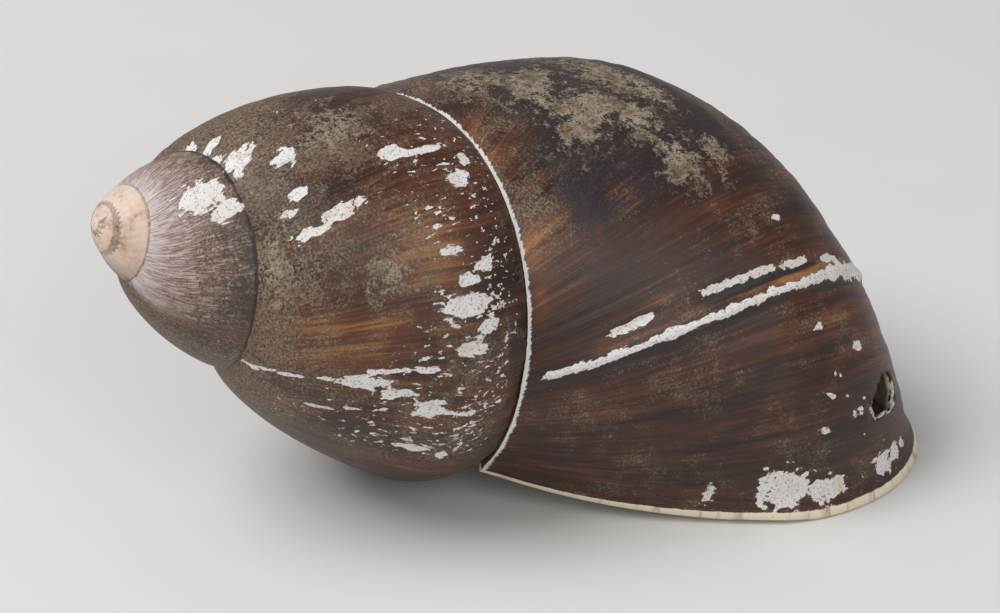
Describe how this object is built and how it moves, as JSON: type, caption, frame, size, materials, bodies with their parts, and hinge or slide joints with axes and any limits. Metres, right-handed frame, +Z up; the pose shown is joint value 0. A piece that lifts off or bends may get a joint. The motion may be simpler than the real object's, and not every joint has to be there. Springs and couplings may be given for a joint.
{
  "type": "giant land snail shell",
  "caption": "Large right-handed land snail shell, ovate with a convex spire, lying on its open mouth with a small break in the outer lip.",
  "frame": {"origin": "middle of the shell's box on the surface that it lies on", "axes": "+Z up off the surface, +X from the apex towards the foot of the mouth, -Y towards the outer lip"},
  "size_m": [0.1355, 0.0862, 0.0709],
  "materials": {
    "shell": "satin"
  },
  "bodies": {
    "root": {"shell": "shell"}
  },
  "joints": []
}
